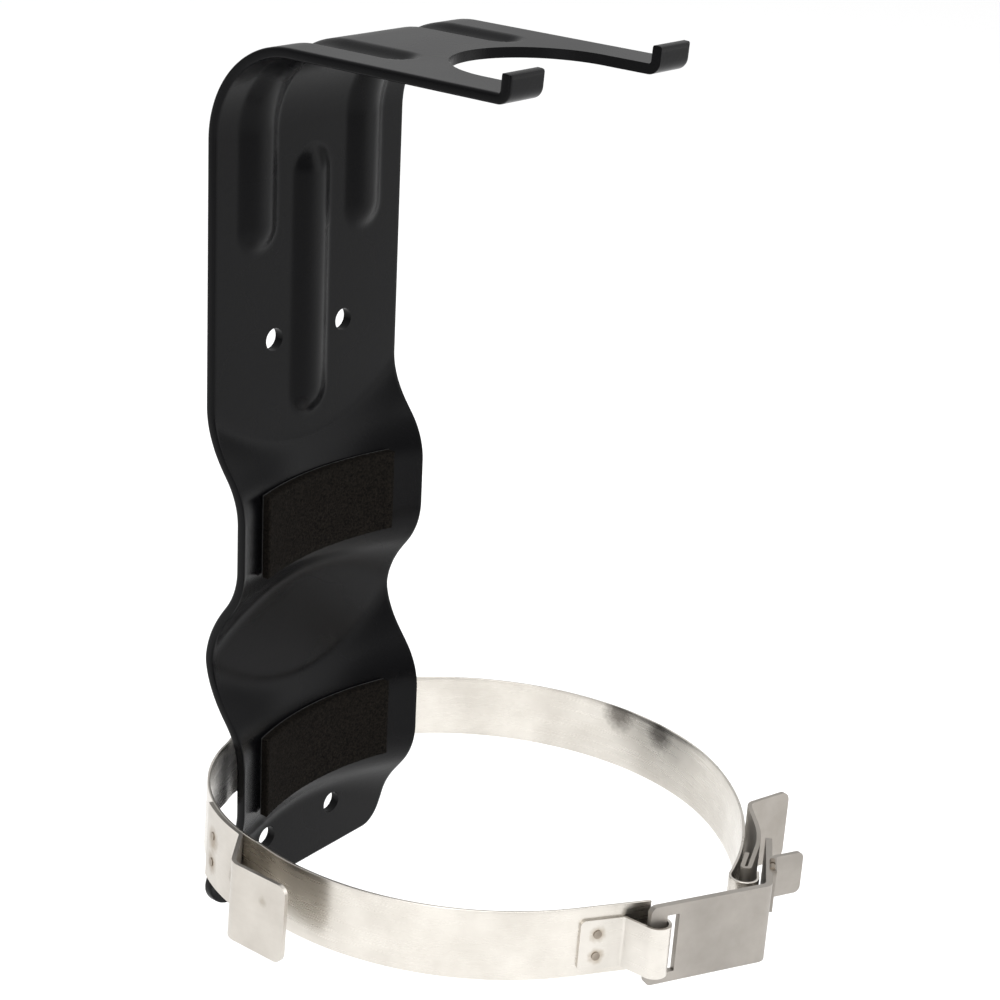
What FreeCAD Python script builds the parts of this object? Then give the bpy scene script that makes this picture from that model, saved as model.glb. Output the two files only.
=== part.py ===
import FreeCAD, Part
import math
import os

import Sketcher

# Cylinder wall bracket with a quick-release steel band. Millimetres.
# Row frame: X to the right when facing the bracket, Y towards the wall, Z up.
# The wall plane is y = 0 and the origin is the centre of the four wall holes.

os.makedirs("parts", exist_ok=True)

V = FreeCAD.Vector
doc = FreeCAD.newDocument("cylinder_bracket")
sheet = doc.addObject("Spreadsheet::Sheet", "Dimensions")

SIZES = [
    # back plate
    ("plate_width", 80.0),
    ("plate_thick", 3.0),
    ("plate_bottom", -99.0),
    ("corner_radius", 10.0),
    ("hole_diameter", 7.0),
    ("hole_spacing_across", 30.0),
    ("hole_spacing_up", 166.0),
    # top arm
    ("bend_radius", 30.0),
    ("arm_top", 176.2),
    ("arm_reach", 105.3),
    ("arm_drop_angle", 0.8),
    ("fork_radius", 26.0),
    ("fork_centre_reach", 86.6),
    ("lip_rise", 4.6),
    # saddles that carry the cylinder
    ("upper_saddle_height", 26.6),
    ("upper_saddle_radius", 93.0),
    ("lower_saddle_height", -52.6),
    ("lower_saddle_radius", 88.0),
    ("upper_saddle_depth", 4.4),
    ("lower_saddle_depth", 4.9),
    ("saddle_flat", 7.0),
    ("saddle_round", 26.0),
    ("saddle_slope", 35.0),
    # stiffening ribs
    ("rib_radius", 11.0),
    ("rib_rise", 2.5),
    ("rib_offset", 22.5),
    ("outer_rib_bottom", 107.5),
    ("outer_rib_reach", 64.0),
    ("middle_rib_bottom", 53.3),
    ("middle_rib_top", 142.8),
    # foam pads
    ("pad_width", 56.0),
    ("pad_height", 26.0),
    ("pad_thick", 3.0),
    ("adhesive_thick", 0.3),
    # band
    ("band_height", 20.0),
    ("band_thick", 0.8),
    ("ring_radius", 77.4),
    ("ring_centre_reach", 74.5),
    ("band_level", -52.05),
    ("band_tilt", 4.1),
    ("band_pitch", -0.6),
    ("bulge_radius", 60.0),
    ("bulge_rise", 2.4),
    ("bulge_fillet", 30.0),
    ("flat_back_reach", 72.4),
    ("flat_corner_radius", 25.0),
    ("flex_offset", 41.0),
    ("flex_gap", 0.36),
    ("right_front_radius", 104.0),
    ("curl_radius", 3.9),
    # catch on the band's left end
    ("strap_height", 14.6),
    ("strap_thick", 0.8),
    ("barrel_radius", 3.6),
    ("strap_corner", 1.5),
    ("spot_diameter", 2.4),
    ("spot_rise", 0.2),
    ("hook_height", 23.0),
    ("hook_thick", 1.8),
    ("slot_height", 17.0),
    ("hook_corner", 2.0),
    ("pull_tab_height", 12.5),
    ("pull_tab_thick", 1.2),
    ("pull_tab_corner", 2.0),
    ("bead_radius", 0.8),
    ("bead_length", 2.2),
    # release lever on the band's right end
    ("lever_height", 22.0),
    ("lever_thick", 1.2),
    # finger tab on the band's left side
    ("finger_tab_height", 22.5),
    ("finger_tab_thick", 1.2),
    ("tab_corner_radius", 3.0),
]
for row, (alias, value) in enumerate(SIZES, start=1):
    sheet.set("A%d" % row, alias)
    sheet.set("B%d" % row, str(value))
    sheet.setAlias("B%d" % row, alias)
doc.recompute()


def size(alias):
    return float(sheet.get(alias))


# ---------------------------------------------------------------- helpers

class Strip:
    """A bent sheet-metal strip seen edge on: a start point, a heading, then straight runs and bends."""

    def __init__(self, x, y, heading, thick):
        self.x = x
        self.y = y
        self.heading = heading
        self.thick = thick
        self.runs = []

    def straight(self, length):
        a = math.radians(self.heading)
        start = (self.x, self.y)
        self.x += length * math.cos(a)
        self.y += length * math.sin(a)
        self.runs.append(("line", start, (self.x, self.y), self.heading))
        return self

    def bend(self, radius, turn):
        """turn in degrees, positive to the left."""
        side = 1.0 if turn > 0 else -1.0
        a = math.radians(self.heading + 90.0 * side)
        cx = self.x + radius * math.cos(a)
        cy = self.y + radius * math.sin(a)
        first = self.heading - 90.0 * side
        last = first + turn
        self.x = cx + radius * math.cos(math.radians(last))
        self.y = cy + radius * math.sin(math.radians(last))
        self.runs.append(("arc", (cx, cy), radius, first, last, side))
        self.heading += turn
        return self

    def side(self, offset):
        """The runs moved to the left of the heading by offset."""
        moved = []
        for run in self.runs:
            if run[0] == "line":
                a = math.radians(run[3] + 90.0)
                dx = offset * math.cos(a)
                dy = offset * math.sin(a)
                p = V(run[1][0] + dx, run[1][1] + dy, 0)
                q = V(run[2][0] + dx, run[2][1] + dy, 0)
                moved.append(Part.LineSegment(p, q))
            else:
                centre = V(run[1][0], run[1][1], 0)
                radius = run[2] - run[5] * offset
                low = math.radians(min(run[3], run[4]))
                high = math.radians(max(run[3], run[4]))
                circle = Part.Circle(centre, V(0, 0, 1), radius)
                moved.append(Part.ArcOfCircle(circle, low, high))
        return moved

    def end_points(self, last, offset):
        if last:
            run = self.runs[-1]
        else:
            run = self.runs[0]
        if run[0] == "line":
            x, y = run[2] if last else run[1]
            heading = run[3]
        else:
            angle = run[4] if last else run[3]
            x = run[1][0] + run[2] * math.cos(math.radians(angle))
            y = run[1][1] + run[2] * math.sin(math.radians(angle))
            heading = angle + 90.0 * run[5]
        a = math.radians(heading + 90.0)
        return V(x + offset * math.cos(a), y + offset * math.sin(a), 0)

    def outline(self):
        half = self.thick / 2.0
        geometry = self.side(half) + self.side(-half)
        for last in (False, True):
            geometry.append(Part.LineSegment(self.end_points(last, half), self.end_points(last, -half)))
        return geometry


def origin_plane(body, role):
    for feature in body.Origin.OriginFeatures:
        if feature.Role == role:
            return feature
    raise ValueError(role)


def add_sketch(body, name, geometry):
    sketch = body.newObject("Sketcher::SketchObject", name)
    sketch.AttachmentSupport = [(origin_plane(body, "XY_Plane"), "")]
    sketch.MapMode = "FlatFace"
    sketch.addGeometry(geometry, False)
    return sketch


def strip_body(label, strip, height_alias, centre_height=0.0):
    """A strip padded symmetrically about a level of the band's own frame."""
    body = doc.addObject("PartDesign::Body", label)
    body.Label = label
    sketch = add_sketch(body, label + "_outline", strip.outline())
    pad = body.newObject("PartDesign::Pad", label + "_pad")
    pad.Profile = sketch
    pad.SideType = "Symmetric"
    pad.setExpression("Length", "Dimensions." + height_alias)
    doc.recompute()
    body.Tip = pad
    body.Placement = BAND.multiply(FreeCAD.Placement(V(0, 0, centre_height), FreeCAD.Rotation()))
    return body


def cut_window(body, label, geometry, height_alias):
    """A window through a strip, centred on the body's own XY plane."""
    before = body.Shape.Volume
    sketch = add_sketch(body, label + "_outline", geometry)
    pocket = body.newObject("PartDesign::Pocket", label)
    pocket.Profile = sketch
    pocket.SideType = "Symmetric"
    pocket.setExpression("Length", "Dimensions." + height_alias)
    doc.recompute()
    body.Tip = pocket
    doc.recompute()
    if body.Shape.Volume > before - 0.1:
        raise RuntimeError(label + " does not cut")


def round_corners(body, label, near, radius_alias):
    """Rounds the short edges across the thickness that lie near a plan point."""
    base = body.Tip
    names = []
    for number, edge in enumerate(base.Shape.Edges, start=1):
        middle = edge.CenterOfMass
        flat = math.hypot(middle.x - near[0], middle.y - near[1])
        if edge.Length < 3.0 and flat < 1.5:
            names.append("Edge%d" % number)
    fillet = body.newObject("PartDesign::Fillet", label)
    fillet.Base = (base, names)
    fillet.setExpression("Radius", "Dimensions." + radius_alias)
    doc.recompute()
    body.Tip = fillet
    doc.recompute()


def polygon_lines(points):
    lines = []
    for first, second in zip(points, points[1:] + points[:1]):
        lines.append(Part.LineSegment(V(first[0], first[1], 0), V(second[0], second[1], 0)))
    return lines


# ---------------------------------------------------------------- back plate

half_width = size("plate_width") / 2.0
thick = size("plate_thick")
front = -thick
bend = size("bend_radius")
bend_z = size("arm_top") - bend


def saddle(height, radius, depth, behind):
    """The space outside a saddle's working surface, moved behind it by an offset."""
    base = radius + behind
    level = size(height)
    flat = size("saddle_flat")
    slope = math.radians(size("saddle_slope"))
    round_r = size("saddle_round") - behind
    rim = base + 26.0
    centre_r = base + round_r
    arc_r = centre_r - round_r * math.cos(slope)
    arc_z = flat + round_r * math.sin(slope)
    mid_r = centre_r - round_r * math.cos(slope / 2.0)
    mid_z = flat + round_r * math.sin(slope / 2.0)
    flank_z = arc_z + (rim - arc_r) / math.tan(slope)

    def point(r, z):
        return V(r, 0, z)

    def point_low(r, z):
        return V(r, 0, -z)

    edges = [
        Part.makeLine(point_low(base, flat), point(base, flat)),
        Part.Arc(point(base, flat), point(mid_r, mid_z), point(arc_r, arc_z)).toShape(),
        Part.makeLine(point(arc_r, arc_z), point(rim, flank_z)),
        Part.makeLine(point(rim, flank_z), point_low(rim, flank_z)),
        Part.makeLine(point_low(rim, flank_z), point_low(arc_r, arc_z)),
        Part.Arc(point_low(arc_r, arc_z), point_low(mid_r, mid_z), point_low(base, flat)).toShape(),
    ]
    face = Part.Face(Part.Wire(Part.__sortEdges__(edges)))
    solid = face.revolve(V(0, 0, 0), V(0, 0, 1), 360)
    axis_y = front - size(depth) - radius
    solid.translate(V(0, axis_y, level))
    return solid


def rib_rod(x, low, high, radius):
    """A round-ended rod along the back plate."""
    axis_y = front - size("rib_rise") + size("rib_radius")
    rod = Part.makeCylinder(radius, high - low, V(x, axis_y, low), V(0, 0, 1))
    rod = rod.fuse(Part.makeSphere(radius, V(x, axis_y, low)))
    return rod


def rib_over_bend(x, radius):
    """A round-ended rod that climbs the plate, follows the bend and runs out along the arm."""
    low = size("outer_rib_bottom") + size("rib_radius")
    axis_y = front - size("rib_rise") + size("rib_radius")
    rod = Part.makeCylinder(radius, bend_z - low, V(x, axis_y, low), V(0, 0, 1))
    rod = rod.fuse(Part.makeSphere(radius, V(x, axis_y, low)))
    path_radius = bend + axis_y
    turn = 90.0 + size("arm_drop_angle")
    circle = Part.Wire(Part.Circle(V(x, axis_y, bend_z), V(0, 0, 1), radius).toShape())
    elbow = Part.Face(circle).revolve(V(x, -bend, bend_z), V(1, 0, 0), turn)
    rod = rod.fuse(elbow)
    a = math.radians(turn)
    start = V(x, -bend + path_radius * math.cos(a), bend_z + path_radius * math.sin(a))
    along = V(0, -math.sin(a), math.cos(a))
    length = (size("outer_rib_reach") - size("rib_radius") + start.y) / math.sin(a)
    rod = rod.fuse(Part.makeCylinder(radius, length, start, along))
    rod = rod.fuse(Part.makeSphere(radius, start + along * length))
    return rod


def arm_profile():
    """The bend, the arm and the upturned lip, seen from the side."""
    turn = math.radians(90.0 + size("arm_drop_angle"))
    radial = V(0, math.cos(turn), math.sin(turn))
    along = V(0, -math.sin(turn), math.cos(turn))
    centre = V(0, -bend, bend_z)

    def on_bend(radius, angle):
        return centre + V(0, math.cos(angle), math.sin(angle)) * radius

    inner = bend - thick
    top_start = on_bend(bend, turn)
    low_start = on_bend(inner, turn)
    length = (size("arm_reach") + top_start.y) / math.sin(turn)
    lip_low_round = 3.5
    rise = size("lip_rise")
    low_end = low_start + along * (length - lip_low_round)
    corner_centre = low_end + radial * lip_low_round
    diagonal = (along - radial) * (1.0 / math.sqrt(2.0))
    corner_mid = corner_centre + diagonal * lip_low_round
    face_low = corner_centre + along * lip_low_round
    lip_top_out = top_start + along * length + radial * rise
    lip_top_in = lip_top_out - along * thick
    lip_foot = top_start + along * (length - thick)
    edges = [
        Part.makeLine(V(0, 0, bend_z), V(0, front, bend_z)),
        Part.Arc(V(0, front, bend_z), on_bend(inner, turn / 2.0), low_start).toShape(),
        Part.makeLine(low_start, low_end),
        Part.Arc(low_end, corner_mid, face_low).toShape(),
        Part.makeLine(face_low, lip_top_out),
        Part.makeLine(lip_top_out, lip_top_in),
        Part.makeLine(lip_top_in, lip_foot),
        Part.makeLine(lip_foot, top_start),
        Part.Arc(top_start, on_bend(bend, turn / 2.0), V(0, 0, bend_z)).toShape(),
    ]
    face = Part.Face(Part.Wire(Part.__sortEdges__(edges)))
    face.translate(V(-half_width, 0, 0))
    return face.extrude(V(2.0 * half_width, 0, 0))


def plate_silhouette():
    """The lower plate seen from the front, with two rounded bottom corners."""
    low = size("plate_bottom")
    r = size("corner_radius")
    w = half_width
    s = r * (1.0 - math.sqrt(0.5))
    edges = [
        Part.makeLine(V(-w, 0, bend_z), V(-w, 0, low + r)),
        Part.Arc(V(-w, 0, low + r), V(-w + s, 0, low + s), V(-w + r, 0, low)).toShape(),
        Part.makeLine(V(-w + r, 0, low), V(w - r, 0, low)),
        Part.Arc(V(w - r, 0, low), V(w - s, 0, low + s), V(w, 0, low + r)).toShape(),
        Part.makeLine(V(w, 0, low + r), V(w, 0, bend_z)),
        Part.makeLine(V(w, 0, bend_z), V(-w, 0, bend_z)),
    ]
    face = Part.Face(Part.Wire(Part.__sortEdges__(edges)))
    face.translate(V(0, -40, 0))
    return face.extrude(V(0, 40, 0))


def build_plate():
    low = size("plate_bottom")
    height = bend_z - low
    blank = plate_silhouette()
    flat = Part.makeBox(2 * half_width, thick, height, V(-half_width, front, low))
    saddles = [
        ("upper_saddle_height", size("upper_saddle_radius"), "upper_saddle_depth"),
        ("lower_saddle_height", size("lower_saddle_radius"), "lower_saddle_depth"),
    ]
    material = flat
    hollow = None
    for height_alias, radius, depth in saddles:
        outer = saddle(height_alias, radius, depth, 0.0).common(blank)
        inner = saddle(height_alias, radius, depth, thick).common(blank)
        material = material.fuse(outer)
        hollow = inner if hollow is None else hollow.fuse(inner)
    material = material.common(blank).cut(hollow)
    plate = material.fuse(arm_profile())
    offset = size("rib_offset")
    rib_r = size("rib_radius")
    groove_r = rib_r - thick
    low_end = size("middle_rib_bottom") + rib_r
    top_end = size("middle_rib_top") - rib_r
    ribs = []
    grooves = []
    for x in (-offset, offset):
        ribs.append(rib_over_bend(x, rib_r))
        grooves.append(rib_over_bend(x, groove_r))
    for radius, group in ((rib_r, ribs), (groove_r, grooves)):
        axis_y = front - size("rib_rise") + rib_r
        rod = rib_rod(0.0, low_end, top_end, radius)
        group.append(rod.fuse(Part.makeSphere(radius, V(0, axis_y, top_end))))
    # only the part of each rod on the sheet's inner side belongs to the plate
    behind = Part.makeBox(200, 60, 400, V(-100, 0, -150))
    over = arm_outside()
    for rod in ribs:
        plate = plate.fuse(rod.cut(behind).cut(over))
    for rod in grooves:
        plate = plate.cut(rod)
    plate = plate.cut(fork_cutter())
    for x in (-0.5, 0.5):
        for z in (-0.5, 0.5):
            centre = V(x * size("hole_spacing_across"), 1.0, z * size("hole_spacing_up"))
            plate = plate.cut(Part.makeCylinder(size("hole_diameter") / 2.0, 10, centre, V(0, -1, 0)))
    return plate.removeSplitter()


def arm_outside():
    """Everything above the arm's top face and outside the bend."""
    turn = 90.0 + size("arm_drop_angle")
    block = Part.makeBox(200, 240, 120, V(-100, -180, bend_z))
    core = Part.makeCylinder(bend, 200, V(-100, -bend, bend_z), V(1, 0, 0))
    under = Part.makeBox(200, 200, 80, V(-100, -200 - bend, bend_z - 80 + bend))
    under.rotate(V(0, -bend, bend_z), V(1, 0, 0), turn - 90.0)
    return block.cut(core).cut(under)


def fork_cutter():
    r = size("fork_radius")
    reach = size("fork_centre_reach")
    round_end = Part.makeCylinder(r, 60, V(0, -reach, bend_z - 10), V(0, 0, 1))
    straight = Part.makeBox(2 * r, 60, 60, V(-r, -reach - 60, bend_z - 10))
    return round_end.fuse(straight)


plate = doc.addObject("Part::Feature", "back_plate")
plate.Label = "back_plate"
plate.Shape = build_plate()
plate.Placement = FreeCAD.Placement(V(0, 0, 0), FreeCAD.Rotation())


# ---------------------------------------------------------------- foam pads

def pad_layer(label, height_alias, radius_alias, depth_alias, near_text, far_text):
    """One curved layer of a pad, between two distances in front of its saddle."""
    radius = "Dimensions." + radius_alias
    axis_y = "-Dimensions.plate_thick - Dimensions.%s - %s" % (depth_alias, radius)
    level = "Dimensions.%s - Dimensions.pad_height / 2" % height_alias
    outer = doc.addObject("Part::Cylinder", label + "_outer")
    inner = doc.addObject("Part::Cylinder", label + "_inner")
    outer.setExpression("Radius", radius + " - " + near_text)
    inner.setExpression("Radius", radius + " - " + far_text)
    for cylinder in (outer, inner):
        cylinder.setExpression("Height", "Dimensions.pad_height")
        cylinder.setExpression("Placement.Base.y", axis_y)
        cylinder.setExpression("Placement.Base.z", level)
    shell = doc.addObject("Part::Cut", label + "_shell")
    shell.Base = outer
    shell.Tool = inner
    window = doc.addObject("Part::Box", label + "_window")
    window.setExpression("Length", "Dimensions.pad_width")
    window.setExpression("Width", "40 mm")
    window.setExpression("Height", "Dimensions.pad_height")
    window.setExpression("Placement.Base.x", "-Dimensions.pad_width / 2")
    window.setExpression("Placement.Base.y", "-40 mm")
    window.setExpression("Placement.Base.z", level)
    layer = doc.addObject("Part::Common", label)
    layer.Label = label
    layer.Base = shell
    layer.Tool = window
    return layer


PADS = [
    ("upper", "upper_saddle_height", "upper_saddle_radius", "upper_saddle_depth"),
    ("lower", "lower_saddle_height", "lower_saddle_radius", "lower_saddle_depth"),
]
nodes = [plate]
for name, height_alias, radius_alias, depth_alias in PADS:
    glue = "Dimensions.adhesive_thick"
    foam = "Dimensions.pad_thick"
    nodes.append(pad_layer(name + "_pad_adhesive", height_alias, radius_alias, depth_alias, "0", glue))
    nodes.append(pad_layer(name + "_foam_pad", height_alias, radius_alias, depth_alias, glue, foam))
doc.recompute()


# ---------------------------------------------------------------- band

# The band's own frame: origin at the ring's centre, halfway up the band.
BAND = FreeCAD.Placement(
    V(0, -size("ring_centre_reach"), size("band_level")),
    FreeCAD.Rotation(V(0, 1, 0), size("band_tilt")).multiply(
        FreeCAD.Rotation(V(1, 0, 0), size("band_pitch"))
    ),
)

ring = size("ring_radius")
steel = size("band_thick")
flex_angle = math.degrees(math.asin(size("flex_offset") / ring))
gap_angle = math.degrees(size("flex_gap") / 2.0 / ring)


def on_ring(angle, radius=None):
    r = ring if radius is None else radius
    return r * math.cos(math.radians(angle)), r * math.sin(math.radians(angle))


# the left side bulges out a little: a tighter arc, led into and out of by two fillets
BULGE_MIDDLE = 142.8
bulge_radius = size("bulge_radius")
bulge_shift = ring + size("bulge_rise") - bulge_radius
fillet_radius = size("bulge_fillet")
far = bulge_radius + fillet_radius
out = ring + fillet_radius
meet = math.degrees(math.acos((bulge_shift ** 2 + out ** 2 - far ** 2) / (2.0 * bulge_shift * out)))
leave = math.degrees(math.acos((out * math.cos(math.radians(meet)) - bulge_shift) / far))


def on_bulge(angle, offset):
    """A point of the bulge's outside, at an angle about the bulge's own centre."""
    cx, cy = on_ring(BULGE_MIDDLE, bulge_shift)
    r = bulge_radius + offset
    return cx + r * math.cos(math.radians(angle)), cy + r * math.sin(math.radians(angle))


def on_straight(along, offset):
    """A point beside the straight left end, measured from where the ring stops."""
    px, py = on_ring(STRAIGHT_FROM, ring + offset)
    way = math.radians(STRAIGHT_FROM + 90.0)
    return px + along * math.cos(way), py + along * math.sin(way)


# rear piece, flattened behind the plate, from the right flex line to the left one
FLEX_LEFT = 115.0
left_gap = math.degrees(size("flex_gap") / 2.0 / bulge_radius)
corner = size("flat_corner_radius")
corner_y = size("flat_back_reach") - corner
corner_x = math.sqrt((ring - corner) ** 2 - corner_y ** 2)
corner_turn = math.degrees(math.atan2(corner_x, corner_y))
start_angle = 90.0 - flex_angle + gap_angle
x, y = on_ring(start_angle)
rear = Strip(x, y, start_angle + 90.0, steel)
rear.bend(ring, 90.0 - corner_turn - start_angle)
rear.bend(corner, corner_turn)
rear.straight(2.0 * corner_x)
rear.bend(corner, corner_turn)
rear.bend(ring, BULGE_MIDDLE - meet - corner_turn - 90.0)
rear.bend(fillet_radius, meet - leave)
rear.bend(bulge_radius, FLEX_LEFT - left_gap - BULGE_MIDDLE + leave)
nodes.append(strip_body("band_rear", rear, "band_height"))

# left arm, counter-clockwise from the flex line to the catch: bulge, ring, and a straight end
STRAIGHT_FROM = 238.5
STRAIGHT_LENGTH = 22.0
x, y = on_bulge(FLEX_LEFT + left_gap, 0.0)
left = Strip(x, y, FLEX_LEFT + left_gap + 90.0, steel)
left.bend(bulge_radius, BULGE_MIDDLE + leave - FLEX_LEFT - left_gap)
left.bend(fillet_radius, meet - leave)
left.bend(ring, STRAIGHT_FROM - BULGE_MIDDLE - meet)
left.straight(STRAIGHT_LENGTH)
nodes.append(strip_body("band_left_arm", left, "band_height"))

# right arm, clockwise to the front, where it opens out and ends in a curl
OPENING_ANGLE = -36.0
OPENING_TURN = 37.5
CURL_TURN = 196.5
CURL_TAIL = 3.5
start_angle = 90.0 - flex_angle - gap_angle
x, y = on_ring(start_angle)
right = Strip(x, y, start_angle - 90.0, steel)
right.bend(ring, OPENING_ANGLE - start_angle)
right.bend(size("right_front_radius"), -OPENING_TURN)
right.bend(size("curl_radius"), CURL_TURN)
right.straight(CURL_TAIL)
nodes.append(strip_body("band_right_arm", right, "band_height"))


# ---------------------------------------------------------------- catch on the left end

PIVOT = (-25.1, -82.2)
barrel = size("barrel_radius")
strap_thick = size("strap_thick")
strap_stand = steel / 2.0 + strap_thick / 2.0
STRAP_FROM = 1.5
SLOPE_HEADING = 270.0
SLOPE_BEND = 1.2
RETURN_HEADING = 100.0
RETURN_LENGTH = 3.1
STRAP_LEVEL = -0.8

# the slope meets the barrel where its heading is tangent to it, so its place along the end is fixed
end_heading = STRAIGHT_FROM + 90.0
slope_x = PIVOT[0] - barrel
slope_turn = end_heading - SLOPE_HEADING
start_x, start_y = on_straight(0.0, strap_stand)
way_x = math.cos(math.radians(end_heading))
way_y = math.sin(math.radians(end_heading))
bend_reach = SLOPE_BEND * (1.0 - math.cos(math.radians(slope_turn)))
leave_along = (slope_x - bend_reach - start_x) / way_x
x, y = on_straight(STRAP_FROM, strap_stand)
strap = Strip(x, y, end_heading, strap_thick)
strap.straight(leave_along - STRAP_FROM)
strap.bend(SLOPE_BEND, -slope_turn)
strap.straight(strap.y - PIVOT[1])
strap.bend(barrel, RETURN_HEADING + 360.0 - SLOPE_HEADING)
strap.straight(RETURN_LENGTH)
strap_body = strip_body("catch_loop_strap", strap, "strap_height", STRAP_LEVEL)
round_corners(strap_body, "strap_corners", (x, y), "strap_corner")
nodes.append(strap_body)


def spot_welds(label, places):
    """Small round weld marks on the outside of the band, as separate solids of one node."""
    spots = []
    for px, py, facing, level in places:
        out = V(math.cos(math.radians(facing)), math.sin(math.radians(facing)), 0)
        disc = Part.makeCylinder(size("spot_diameter") / 2.0, size("spot_rise"), V(px, py, level), out)
        spots.append(disc)
    group = doc.addObject("Part::Feature", label)
    group.Label = label
    group.Shape = Part.makeCompound(spots)
    group.Placement = BAND
    return group


x, y = on_straight(6.6, strap_stand + strap_thick / 2.0 + 0.01)
strap_places = [(x, y, STRAIGHT_FROM, 2.2), (x, y, STRAIGHT_FROM, -4.2)]
nodes.append(spot_welds("strap_spot_welds", strap_places))

# hook plate: a slotted bar in the loop, a long face, a corner, and a flange behind the curl
hook_thick = size("hook_thick")
HOOK_HEADING = -24.3
FLANGE_HEADING = 31.5
BAR_HALF = 2.6
a = math.radians(HOOK_HEADING)
hook = Strip(
    PIVOT[0] - BAR_HALF * math.cos(a),
    PIVOT[1] - BAR_HALF * math.sin(a),
    HOOK_HEADING,
    hook_thick,
)
HOOK_FACE = 36.8
HOOK_BEND = 2.9
FLANGE_LENGTH = 28.0
hook.straight(HOOK_FACE)
hook.bend(HOOK_BEND, FLANGE_HEADING - HOOK_HEADING)
flange_start = (hook.x, hook.y)
hook.straight(FLANGE_LENGTH)
hook_plate = strip_body("hook_plate", hook, "hook_height")
SLOT_FROM = 2.6
SLOT_TO = 6.4
window = []
for along, across in ((SLOT_FROM, -3), (SLOT_TO, -3), (SLOT_TO, 3), (SLOT_FROM, 3)):
    window.append((
        PIVOT[0] + along * math.cos(a) - across * math.sin(a),
        PIVOT[1] + along * math.sin(a) + across * math.cos(a),
    ))
cut_window(hook_plate, "hook_slot", polygon_lines(window), "slot_height")
bar_end = (PIVOT[0] - BAR_HALF * math.cos(a), PIVOT[1] - BAR_HALF * math.sin(a))
round_corners(hook_plate, "bar_corners", bar_end, "hook_corner")
round_corners(hook_plate, "flange_corners", (hook.x, hook.y), "hook_corner")
nodes.append(hook_plate)

# pull tab on the outside of the flange
tab_thick = size("pull_tab_thick")
PULL_TAB_LEVEL = 5.2
f = math.radians(FLANGE_HEADING)
out_x = math.sin(f)
out_y = -math.cos(f)
stand = hook_thick / 2.0 + tab_thick / 2.0
FOOT_FROM = 6.6
pull = Strip(
    flange_start[0] + FOOT_FROM * math.cos(f) + stand * out_x,
    flange_start[1] + FOOT_FROM * math.sin(f) + stand * out_y,
    FLANGE_HEADING,
    tab_thick,
)
pull.straight(8.4)
pull.bend(1.2, -54.5)
pull.straight(9.3)
pull_tab = strip_body("pull_tab", pull, "pull_tab_height", PULL_TAB_LEVEL)
round_corners(pull_tab, "pull_tab_corners", (pull.x, pull.y), "pull_tab_corner")
nodes.append(pull_tab)


def weld_beads(label, places):
    """Half-round beads on the top edge, over the seam between the flange and the pull tab's foot."""
    beads = []
    radius = size("bead_radius")
    length = size("bead_length")
    top = size("hook_height") / 2.0 + 0.01
    for along in places:
        px = flange_start[0] + along * math.cos(f) + hook_thick / 2.0 * out_x
        py = flange_start[1] + along * math.sin(f) + hook_thick / 2.0 * out_y
        rod = Part.makeCylinder(radius, length, V(px, py, top), V(math.cos(f), math.sin(f), 0))
        below = Part.makeBox(20, 20, 5, V(px - 10, py - 10, top - 5))
        beads.append(rod.cut(below))
    group = doc.addObject("Part::Feature", label)
    group.Label = label
    group.Shape = Part.makeCompound(beads)
    group.Placement = BAND
    return group


nodes.append(weld_beads("pull_tab_weld_beads", (7.4, 10.6)))


# ---------------------------------------------------------------- release lever

KNUCKLE = (12.0, -86.6)
lever_thick = size("lever_thick")
LEVER_HEADING = 22.5
KNUCKLE_RADIUS = 1.0
LEVER_LEVEL = 0.5
back = math.radians(LEVER_HEADING + 180.0)
left_of_back = back + math.pi / 2.0
KNUCKLE_RETURN = 8.0
lever = Strip(
    KNUCKLE[0] - KNUCKLE_RADIUS * math.cos(left_of_back) - KNUCKLE_RETURN * math.cos(back),
    KNUCKLE[1] - KNUCKLE_RADIUS * math.sin(left_of_back) - KNUCKLE_RETURN * math.sin(back),
    LEVER_HEADING + 180.0,
    lever_thick,
)
lever.straight(KNUCKLE_RETURN)
lever.bend(KNUCKLE_RADIUS, 180.0)
lever.straight(12.6)
lever.bend(45.0, 19.5)
lever.straight(10.5)
lever.bend(4.0, -54.9)
lever.straight(15.0)
lever_body = strip_body("release_lever", lever, "lever_height", LEVER_LEVEL)
round_corners(lever_body, "lever_corners", (lever.x, lever.y), "tab_corner_radius")
nodes.append(lever_body)


# ---------------------------------------------------------------- finger tab on the left side

finger_thick = size("finger_tab_thick")
finger_stand = steel / 2.0 + finger_thick / 2.0
FINGER_FROM = 149.0
FINGER_TO = 168.3
WALL_HEADING = 217.0
FINGER_LEVEL = -1.25
x, y = on_bulge(FINGER_FROM, finger_stand)
finger = Strip(x, y, FINGER_FROM + 90.0, finger_thick)
finger.bend(bulge_radius + finger_stand, FINGER_TO - FINGER_FROM)
finger.bend(1.5, WALL_HEADING - FINGER_TO - 90.0)
finger.straight(13.2)
finger.bend(4.5, 270.0 - WALL_HEADING)
finger.straight(18.0)
finger_body = strip_body("finger_tab", finger, "finger_tab_height", FINGER_LEVEL)
round_corners(finger_body, "finger_tab_corners", (finger.x, finger.y), "tab_corner_radius")
nodes.append(finger_body)
SPOT_ANGLE = 154.0
x, y = on_bulge(SPOT_ANGLE, finger_stand + finger_thick / 2.0 + 0.01)
finger_places = [(x, y, SPOT_ANGLE, 2.0), (x, y, SPOT_ANGLE, -6.0)]
nodes.append(spot_welds("finger_tab_spot_welds", finger_places))

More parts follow.
